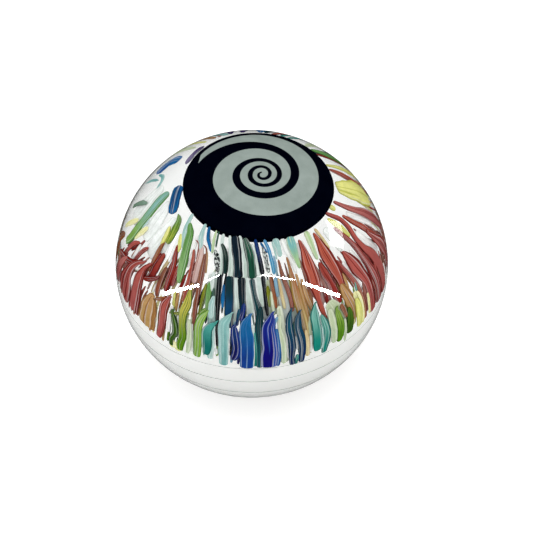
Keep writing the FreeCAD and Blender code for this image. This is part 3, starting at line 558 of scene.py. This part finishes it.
# the same behind the lower canes
BACKING_LOWER = [
    ("white", [(70, -37.7, 1.4), (84, -37.7, 1.4)]),
    ("white", [(71, -33.9, 0.8), (85, -32.5, 0.8)]),
    ("white", [(74, -28.9, 0.7), (84, -28.6, 0.8)]),
    ("white", [(74, -26.5, 0.8), (90, -25.7, 1.4)]),
    ("white", [(83.5, -14.9, 1.2), (87, -14.7, 1.2)]),
    ("white", [(72, 12.3, 0.7), (84, 12.7, 0.8)]),
    ("white", [(74, 15.4, 0.7), (90, 15.6, 0.8)]),
    ("white", [(78, 19.5, 0.6), (86, 19.9, 0.8)]),
    ("white", [(80, 26.3, 1), (90, 26.1, 1)]),
    ("white", [(86, 35.7, 1.2), (90, 35.3, 1.2)]),
    ("white", [(70, -64.1, 1.4), (77, -63.3, 2), (84, -62.3, 1.2)]),
    ("white", [(84, -53.7, 2), (89, -53.3, 2)]),
    ("sage", [(62, 13.6, 2), (72, 13.6, 3), (92, 14.2, 3)]),
    ("sage", [(68, 37.7, 4), (74, 39.7, 7), (82, 40.2, 8), (90, 39.7, 6)]),
    ("tan", [(64, 47.1, 2), (70, 48.3, 5), (78, 50.1, 5), (85, 50.3, 4)]),
    ("pale_yellow", [(72, 52.3, 3), (80, 53.7, 4), (91, 53.5, 4)]),
]
# In this picture the canes are broader than the widths above, which for UPPER and LOWER are
# the widths of the CAD nodes: by CANE_SPREAD, by THIN_SPREAD, or by a factor of their own.
CANE_SPREAD = 1.2
THIN_SPREAD = 1.2
BROADER = {
    "dark_green": 1.5, "navy_green": 1.75, "bottle_green": 1.8, "ink_navy": 1.4, "dark_teal": 1.4,
    "black_teal": 1.4, "sea_teal": 1.3, "ruby_leaf": 1.3, "ruby_broad": 1.05, "yellow_side": 1.75,
    "aqua_lime": 1.3, "blue_edge": 1.6, "cobalt_rear": 2.0, "ruby_fan": 1.0, "ruby_wide": 1.0,
}


# ---------------------------------------------------------------- the shape of a cane
CURVE_STEPS = 1.6        # points on the curve for each degree of polar angle
SECTION = 16             # points round the cane
SECTION_POWER = 0.45     # 1 would be an ellipse, and less is boxier
SECTION_HEIGHT = 0.96    # share of the nominal thickness
TIP_LENGTH = 0.8         # mm over which an end rounds off
TIP_SHARE = 0.35         # the end's width, as a share of the full width
# the hooked top of a lower cane: degrees back, degrees to the right, share of the width
HOOK = [(1.3, 1.4, 0.25), (0.9, 0.6, 0.55), (0.4, 0.15, 0.85)]


def layer_point(polar, azimuth, depth):
    p = math.radians(polar)
    a = math.radians(azimuth)
    across = (DOME_RADIUS - depth) * math.sin(p)
    height = DOME_CENTRE_Z + (DOME_HALF_HEIGHT - depth) * math.cos(p)
    return Vector((across * math.sin(a), -across * math.cos(a), height)) * MM


def outward(polar, azimuth):
    p = math.radians(polar)
    a = math.radians(azimuth)
    across = math.sin(p) / DOME_RADIUS
    height = math.cos(p) / DOME_HALF_HEIGHT
    return Vector((across * math.sin(a), -across * math.cos(a), height)).normalized()


def smooth_knots(knots):
    """Catmull-Rom curve through the knots."""
    result = []
    last = len(knots) - 1
    for i in range(last):
        a, b = knots[i], knots[i + 1]
        before = knots[max(i - 1, 0)]
        after = knots[min(i + 2, last)]
        count = max(2, int(round((b[0] - a[0]) * CURVE_STEPS)))
        for k in range(count + (1 if i == last - 1 else 0)):
            f = k / count
            point = []
            for d in range(3):
                m0 = (b[d] - before[d]) / 2.0
                m1 = (after[d] - a[d]) / 2.0
                point.append(a[d] * (1 + 2 * f) * (1 - f) ** 2 + m0 * f * (1 - f) ** 2
                             + b[d] * f * f * (3 - 2 * f) - m1 * f * f * (1 - f))
            result.append(point)
    return result


def section_outline():
    """The rounded flat section as (across, up) points, each from -1 to 1."""
    points = []
    for k in range(SECTION):
        angle = 2 * math.pi * k / SECTION
        c, s = math.cos(angle), math.sin(angle)
        points.append((math.copysign(abs(c) ** SECTION_POWER, c), math.copysign(abs(s) ** SECTION_POWER, s)))
    return points


OUTLINE = section_outline()


def tube_faces(rings):
    """Faces of a closed tube of so many rings, with its two ends."""
    faces = []
    for i in range(rings - 1):
        for k in range(SECTION):
            k2 = (k + 1) % SECTION
            faces.append((i * SECTION + k, i * SECTION + k2, (i + 1) * SECTION + k2, (i + 1) * SECTION + k))
    faces.append(tuple(range(SECTION))[::-1])
    faces.append(tuple((rings - 1) * SECTION + k for k in range(SECTION)))
    return faces


def ribbon(name, knots, depth, thickness, material, number, spread, hooked):
    """Flat cane along the knots' curve, in the layer so deep. number seeds its small differences."""
    path = smooth_knots(knots)
    if hooked:
        polar, azimuth, width = path[0]
        path = [[polar - back, azimuth + right, width * share] for back, right, share in HOOK] + path
    rng = random.Random(number)
    # the width uses the first two of these; the rest only keep the draws in step
    wobble = [rng.uniform(-1, 1) for _ in range(8)]
    seed = rng.random()
    centres = [layer_point(polar, azimuth, depth) for polar, azimuth, width in path]
    lengths = [0.0]
    for a, b in zip(centres, centres[1:]):
        lengths.append(lengths[-1] + (b - a).length)
    total = lengths[-1]
    verts, along, across = [], [], []
    last = len(path) - 1
    for i, (polar, azimuth, width) in enumerate(path):
        t = lengths[i] / total
        direction = (centres[min(i + 1, last)] - centres[max(i - 1, 0)]).normalized()
        side = direction.cross(outward(polar, azimuth)).normalized()
        up = side.cross(direction).normalized()
        span = (DOME_RADIUS - depth) * math.sin(math.radians(polar)) * math.radians(width) * spread * MM
        span *= 1.0 + 0.05 * math.sin(t * 9.0 + 3 * wobble[0]) + 0.03 * math.sin(t * 21.0 + 3 * wobble[1])
        end = min(lengths[i], total - lengths[i]) / (TIP_LENGTH * MM)
        tip = math.sqrt(max(0.0, 1.0 - (1.0 - min(end, 1.0)) ** 2))
        tip = TIP_SHARE + (1.0 - TIP_SHARE) * tip
        for u, v in OUTLINE:
            right = u * span / 2 * tip
            # the cane follows the dome sideways too
            rise = v * thickness * MM / 2 * tip * SECTION_HEIGHT - right * right / (2 * DOME_RADIUS * MM)
            verts.append(centres[i] + side * right + up * rise)
            along.append(t)
            across.append(u)
    mesh = bpy.data.meshes.new(name)
    mesh.from_pydata(verts, [], tube_faces(len(path)))
    for key, values in (("along", along), ("across", across), ("seed", [seed] * len(verts))):
        mesh.attributes.new(key, "FLOAT", "POINT").data.foreach_set("value", values)
    mesh.polygons.foreach_set("use_smooth", [True] * len(mesh.polygons))
    mesh.materials.append(material)
    mesh.update()
    obj = bpy.data.objects.new(name, mesh)
    scene.collection.objects.link(obj)
    return obj


numbers = itertools.count(1)


def cane(name, colour, knots, depth, thickness=THIN_THICKNESS, spread=THIN_SPREAD, hooked=False):
    piece = ribbon(name, knots, depth, thickness, materials[colour], next(numbers), spread, hooked)
    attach(piece, "root")
    return piece


# ---------------------------------------------------------------- canes: those of the CAD
for row, canes, depth in (("upper", UPPER, UPPER_DEPTH), ("lower", LOWER, LOWER_DEPTH)):
    for i, (kind, colour, slot, knots) in enumerate(canes):
        node = f"{row}_cane_{i + 1:02d}_{kind}"
        piece = cane("glass_" + node, colour, knots, depth, CANE_THICKNESS, BROADER.get(kind, CANE_SPREAD),
                     hooked=row == "lower")
        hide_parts(node)

# ---------------------------------------------------------------- canes: thin ones and backing
for row, canes, depth in (("thin_upper", THIN_UPPER, UPPER_DEPTH),
                          ("thin_lower", THIN_LOWER, LOWER_DEPTH),
                          ("backing_upper", BACKING_UPPER, BACKING_UPPER_DEPTH),
                          ("backing_lower", BACKING_LOWER, BACKING_LOWER_DEPTH)):
    for i, (colour, knots) in enumerate(canes):
        cane(f"{row}_cane_{i + 1:02d}_{colour}", colour, knots, depth)

# ---------------------------------------------------------------- canes: the far side
# These and the strands are drawn at random from a fixed seed: their places are a guess.
REAR_CANES = 15
REAR_FIRST = 112
REAR_STEP = 8.0
REAR_COLOURS = ["ruby", "green", "aqua", "ruby_deep", "navy", "yellow", "teal", "rose", "cobalt", "lime",
                "purple", "tan", "sea_teal", "ruby_rose", "sage", "ink_navy"]
GUESS_SEED = 5
rng = random.Random(GUESS_SEED)
for i in range(REAR_CANES):
    azimuth = REAR_FIRST + REAR_STEP * i + rng.uniform(-1.2, 1.2)
    lean = rng.uniform(-4, 4)
    width = rng.uniform(2.6, 5.0)
    upper_knots = [(39.5, azimuth + lean, 1.8), (46, azimuth + lean / 2, width), (56, azimuth, width + 0.6),
                   (66, azimuth - lean / 3, 1.6)]
    lower_knots = [(65, azimuth + 4, 1.4), (71, azimuth + 3, width), (80, azimuth + 4, width + 1.2),
                   (91, azimuth + 4 - lean / 3, width)]
    for row, knots, depth in (("upper", upper_knots, BACKING_UPPER_DEPTH),
                              ("lower", lower_knots, BACKING_LOWER_DEPTH)):
        colour = rng.choice(REAR_COLOURS)
        cane(f"rear_{row}_cane_{i + 1:02d}_{colour}", colour, knots, depth)

# ---------------------------------------------------------------- canes: fine strands
# first and last azimuth, colours of the upper row, colours of the lower row
STRANDS = [
    (-84, -52, ["rose", "ruby_tan", "pale_rose", "ruby_deep"], ["rose", "rose_brown", "ruby_tan"]),
    (-52, -26, ["tan", "pale_rose", "rose_brown", "pale_tan", "ruby_tan"],
     ["tan", "pale_yellow", "olive", "sage"]),
    (-26, -9, ["pale_grey", "pale_aqua", "sea_teal", "sage", "black_teal"],
     ["pale_aqua", "lime", "teal", "sage"]),
    (-9, 12, ["pale_grey", "ink_navy", "sage", "grey_blue", "dark_teal"],
     ["pale_aqua", "navy", "grey_blue", "cobalt"]),
    (12, 30, ["pale_tan", "red_brown", "sage", "tan", "brown"],
     ["sage", "navy_teal", "pale_tan", "teal_green"]),
    (30, 58, ["ruby_tan", "rose", "tan", "pale_rose", "ruby_deep"],
     ["sage", "teal_green", "pale_yellow", "grass"]),
    (58, 104, ["rose", "ruby_rose", "pale_yellow", "rose_brown"], ["rose", "ruby_rose", "rose_brown"]),
    (104, 160, ["pale_yellow", "sage", "green", "tan", "rose"], ["ruby_tan", "olive", "sage", "tan"]),
    (160, 232, ["pale_aqua", "navy", "sage", "teal", "grey_blue"], ["aqua", "blue", "lime", "pale_grey"]),
]
STRAND_STEP = 2.6
# the strands start lower down beyond these azimuths, by so many degrees
LEFT_OF, LEFT_DROP = -52, 12
RIGHT_OF, RIGHT_DROP = 48, 8
count = 0
for first, last, upper_colours, lower_colours in STRANDS:
    for i in range(int((last - first) / STRAND_STEP)):
        azimuth = first + STRAND_STEP * (i + 0.5) + rng.uniform(-0.6, 0.6)
        lean = rng.uniform(-1.2, 1.2) + azimuth * 0.03
        drop = LEFT_DROP if azimuth < LEFT_OF else RIGHT_DROP if azimuth > RIGHT_OF else 0
        begin = rng.uniform(43, 52) + drop
        end = rng.uniform(66, 73)
        width = rng.uniform(0.9, 1.9)
        upper_knots = [(begin, azimuth - lean, 0.6), ((begin + end) / 2, azimuth, width),
                       (end, azimuth + lean, 0.7)]
        lower_knots = [(rng.uniform(68, 72), azimuth + 0.8, 0.7), (77, azimuth - 0.4, width),
                       (83, azimuth, width), (rng.uniform(88, 92), azimuth - 0.6, 0.9)]
        count += 1
        for row, knots, depth, colours in (("upper", upper_knots, BACKING_UPPER_DEPTH, upper_colours),
                                           ("lower", lower_knots, BACKING_LOWER_DEPTH, lower_colours)):
            colour = rng.choice(colours)
            cane(f"strand_{row}_{count:02d}_{colour}", colour, knots, depth + STRAND_EXTRA_DEPTH)


# ---------------------------------------------------------------- the clear glass body
BODY_SEGMENTS = 192
DOME_STEPS = 90
HOLLOW_STEPS = 10
BEVEL_STEPS = 5
POLISHED, GROUND = 0, 1


def lathe(name, profile, segments, material_of):
    """Surface of revolution from (radius, z) points. material_of gives the material index of
    the stretch after each point."""
    verts = []
    rings = []
    for r, z in profile:
        if r < 1e-9:
            rings.append([len(verts)])
            verts.append((0, 0, z * MM))
        else:
            start = len(verts)
            rings.append(list(range(start, start + segments)))
            for k in range(segments):
                a = 2 * math.pi * k / segments
                verts.append((r * MM * math.cos(a), r * MM * math.sin(a), z * MM))
    faces = []
    slots = []
    for i, (a, b) in enumerate(zip(rings, rings[1:])):
        for k in range(segments):
            k2 = (k + 1) % segments
            if len(a) == 1:
                faces.append((a[0], b[k2], b[k]))
            elif len(b) == 1:
                faces.append((a[k], a[k2], b[0]))
            else:
                faces.append((a[k], a[k2], b[k2], b[k]))
            slots.append(material_of[i])
    mesh = bpy.data.meshes.new(name)
    mesh.from_pydata(verts, [], faces)
    mesh.polygons.foreach_set("use_smooth", [True] * len(faces))
    mesh.polygons.foreach_set("material_index", slots)
    mesh.update()
    obj = bpy.data.objects.new(name, mesh)
    scene.collection.objects.link(obj)
    return obj


def base_profile(edge):
    """The ground base from its middle out: a shallow hollow, a flat ring and a rounded bevel."""
    foot = edge - BASE_BEVEL
    points = []
    for i in range(HOLLOW_STEPS + 1):
        r = BASE_HOLLOW_RADIUS * i / HOLLOW_STEPS
        points.append((r, BASE_HOLLOW_DEPTH * (1 - (r / BASE_HOLLOW_RADIUS) ** 2)))
    points.append((foot, 0.0))
    for k in range(1, BEVEL_STEPS):
        turn = k / BEVEL_STEPS * math.pi / 2
        points.append((foot + BASE_BEVEL * math.sin(turn), BASE_BEVEL * (1 - math.cos(turn))))
    return points


def dome_profile(base_polar):
    """The dome from the top of the bevel up to the crown."""
    points = []
    for i in range(DOME_STEPS + 1):
        p = math.radians(base_polar * (1 - i / DOME_STEPS))
        points.append((DOME_RADIUS * math.sin(p), DOME_CENTRE_Z + DOME_HALF_HEIGHT * math.cos(p)))
    return points


base_polar = math.degrees(math.acos((BASE_BEVEL - DOME_CENTRE_Z) / DOME_HALF_HEIGHT))
base = base_profile(DOME_RADIUS * math.sin(math.radians(base_polar)))
dome = dome_profile(base_polar)
# milky white with fine grinding marks, and a faint painted glow that brightens it though it is no lamp
ground = mottled_glass("ground_glass", 400.0, 4.0, rgb(246, 248, 246), rgb(255, 255, 255),
                       roughness=0.8, specular=0.5, painted_glow=0.32)
body = lathe("clear_glass_body", base + dome, BODY_SEGMENTS, [GROUND] * len(base) + [POLISHED] * len(dome))
body.data.materials.append(clear_glass())
body.data.materials.append(ground)
# the canes are lit as if the glass round them weren't there
body.visible_shadow = False
body.visible_diffuse = False
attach(body, "root")
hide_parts("clear_casing", "clear_core")

# faint grey rings in the clear lower band, painted in for the arcs that refraction of the base edge shows
# there: polar angle and width in mm
PAINTED_ARCS = [(94.5, 0.22), (104.8, 0.3), (117.0, 0.3)]
PAINTED_ARC_SEGMENTS = 128
PAINTED_ARC_FLATNESS = 0.4
# grey of the painted refraction arcs
painted_arc_glass = cane_glass("painted_arc_glass", rgb(196, 200, 197), rgb(202, 205, 203), rgb(186, 190, 187))
for i, (polar, width) in enumerate(PAINTED_ARCS):
    p = math.radians(polar)
    r = (DOME_RADIUS - PAINTED_ARC_DEPTH) * math.sin(p)
    z = DOME_CENTRE_Z + (DOME_HALF_HEIGHT - PAINTED_ARC_DEPTH) * math.cos(p)
    half = width / 2.0
    reach = half * PAINTED_ARC_FLATNESS
    loop = [(r - reach, z), (r, z - half), (r + reach, z), (r, z + half), (r - reach, z)]
    ring = lathe(f"painted_refraction_arc_{i + 1}", loop, PAINTED_ARC_SEGMENTS, [0] * len(loop))
    ring.data.materials.append(painted_arc_glass)
    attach(ring, "root")

# ---------------------------------------------------------------- disc and spiral
ink = mottled_glass("ink_black_glass", 240.0, 4.0, rgb(0, 0, 6), rgb(2, 4, 14),
                    roughness=0.5, specular=0.0)
pale = mottled_glass("pale_grey_glass", 300.0, 5.0, rgb(122, 134, 128), rgb(154, 165, 160),
                     roughness=0.6, specular=0.05)
for node, material in (("spiral_disc", ink), ("spiral_inlay", pale)):
    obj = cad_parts[node]
    obj.data.materials.clear()
    obj.data.materials.append(material)

# ---------------------------------------------------------------- floor
FLOOR_HALF = 6.0
FLOOR_DROP = 0.00005
corners = [(-FLOOR_HALF, -FLOOR_HALF, 0), (FLOOR_HALF, -FLOOR_HALF, 0),
           (FLOOR_HALF, FLOOR_HALF, 0), (-FLOOR_HALF, FLOOR_HALF, 0)]
floor_mesh = bpy.data.meshes.new("floor")
floor_mesh.from_pydata(corners, [], [(0, 1, 2, 3)])
floor = bpy.data.objects.new("floor", floor_mesh)
floor.location.z = -FLOOR_DROP
scene.collection.objects.link(floor)
white, _, shader = new_material("white_floor")
shader.inputs["Base Color"].default_value = (0.95, 0.95, 0.95, 1)
shader.inputs["Roughness"].default_value = 0.9
glow(shader, 0.2)
floor_mesh.materials.append(white)
floor.visible_glossy = False

# ---------------------------------------------------------------- world and lights
world = bpy.data.worlds.new("studio")
scene.world = world
world.use_nodes = True
background = world.node_tree.nodes["Background"]
background.inputs["Color"].default_value = (1, 1, 1, 1)
background.inputs["Strength"].default_value = 0.8
world.cycles_visibility.glossy = False


def area_light(name, centre, size_x, size_y, power, along=(1, 0, 0), glossy=True, diffuse=True):
    """Soft box that faces the middle of the glass. along gives the direction of size_x."""
    data = bpy.data.lights.new(name, "AREA")
    data.shape = "RECTANGLE"
    data.size = size_x
    data.size_y = size_y
    data.energy = power
    obj = bpy.data.objects.new(name, data)
    z = (Vector(centre) - GLASS_MIDDLE).normalized()
    x = Vector(along)
    x = (x - z * x.dot(z)).normalized()
    y = z.cross(x)
    matrix = Matrix((x, y, z)).transposed().to_4x4()
    matrix.translation = Vector(centre)
    obj.matrix_world = matrix
    obj.visible_camera = False
    obj.visible_transmission = False
    obj.visible_glossy = glossy
    obj.visible_diffuse = diffuse
    scene.collection.objects.link(obj)


area_light("overhead", (0.0, 0.0, 1.6), 2.4, 2.4, 20.0, glossy=False)
# lamps that only show as reflections in the dome, the first four as dashes on its front, the
# fifth as a sliver on the left and the last as a soft patch on the right: start, end, width
# and radiance, places and sizes in metres
STRIPS = [
    ((-1.153, -0.419, -0.046), (-0.818, -0.808, 0.478), 0.056, 60.0),
    ((-0.778, -0.816, 0.532), (-0.526, -0.848, 0.757), 0.028, 60.0),
    ((0.189, -0.920, 0.833), (0.714, -0.823, 0.610), 0.028, 60.0),
    ((0.811, -0.795, 0.511), (1.151, -0.407, -0.110), 0.056, 60.0),
    ((-1.039, 0.026, 0.687), (-1.159, -0.156, 0.408), 0.03, 60.0),
    ((1.090, 0.330, 0.590), (1.119, -0.010, 0.430), 0.3, 9.0),
]
for i, (start, end, width, radiance) in enumerate(STRIPS):
    start, end = Vector(start), Vector(end)
    length = (end - start).length
    power = radiance * length * width * math.pi
    area_light(f"strip_{i + 1}", (start + end) / 2, length, width, power, along=end - start, diffuse=False)

# ---------------------------------------------------------------- camera
ELEVATION = math.radians(46.6)
DISTANCE = 0.480
SENSOR_WIDTH = 36.0
DOME_SHARE = 0.25572     # the dome's radius as a share of the picture's width
AIM_RIGHT = 4.098        # mm from the dome's centre to the picture's middle
AIM_DOWN = 0.892
back = Vector((0, -math.cos(ELEVATION), math.sin(ELEVATION)))
up = Vector((0, math.sin(ELEVATION), math.cos(ELEVATION)))
radius = DOME_RADIUS * MM
target = GLASS_MIDDLE + Vector((AIM_RIGHT * MM, 0, 0)) - up * (AIM_DOWN * MM)
camera = bpy.data.objects.new("camera", bpy.data.cameras.new("camera"))
camera.location = target + back * DISTANCE
camera.rotation_euler = (math.pi / 2 - ELEVATION, 0, 0)
camera.data.sensor_width = SENSOR_WIDTH
camera.data.lens = SENSOR_WIDTH * DOME_SHARE * math.sqrt(DISTANCE ** 2 - radius ** 2) / radius
camera.data.clip_start = 0.01
camera.data.clip_end = 50.0
scene.collection.objects.link(camera)
scene.camera = camera
